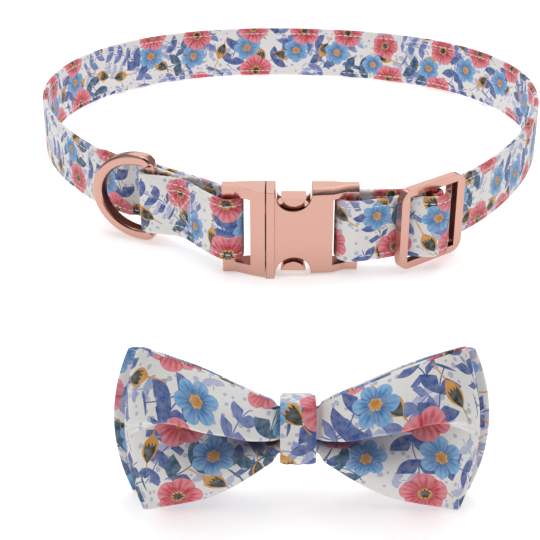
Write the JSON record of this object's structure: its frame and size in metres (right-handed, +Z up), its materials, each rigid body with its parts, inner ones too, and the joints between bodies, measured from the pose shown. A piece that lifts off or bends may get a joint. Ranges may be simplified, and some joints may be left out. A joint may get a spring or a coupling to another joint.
{
  "type": "pet bow tie collar",
  "caption": "Fastened webbing pet collar with side-release buckle, leash ring and length slide, standing on its edge, and its slip-on cloth bow tie standing apart in front.",
  "frame": {"origin": "middle of the footprint of collar and bow, on the floor", "axes": "+Z up, -Y from the collar to the bow, so the buckle and bow face -Y, +X to the right seen from the front"},
  "size_m": [0.225, 0.3662, 0.0488],
  "materials": {
    "printed_cotton": "matt floral print on white cotton",
    "rose_gold_plate": "polished rose gold plate on zinc alloy",
    "white_elastic": "matt white elastic"
  },
  "bodies": {
    "collar": {"strap": "printed_cotton", "buckle_plug": "rose_gold_plate", "buckle_socket": "rose_gold_plate", "slide": "rose_gold_plate", "bow_front": "printed_cotton", "bow_back": "printed_cotton", "bow_knot": "printed_cotton", "bow_elastic": "white_elastic"},
    "leash_ring": {"d_ring": "rose_gold_plate"}
  },
  "joints": [
    {"name": "d_ring_swing", "type": "hinge", "parent": "collar", "child": "leash_ring", "pos_m": [-0.05555, -0.00886, 0.01905], "axis": [0, 0, 1], "range_deg": [-10, 140]}
  ]
}
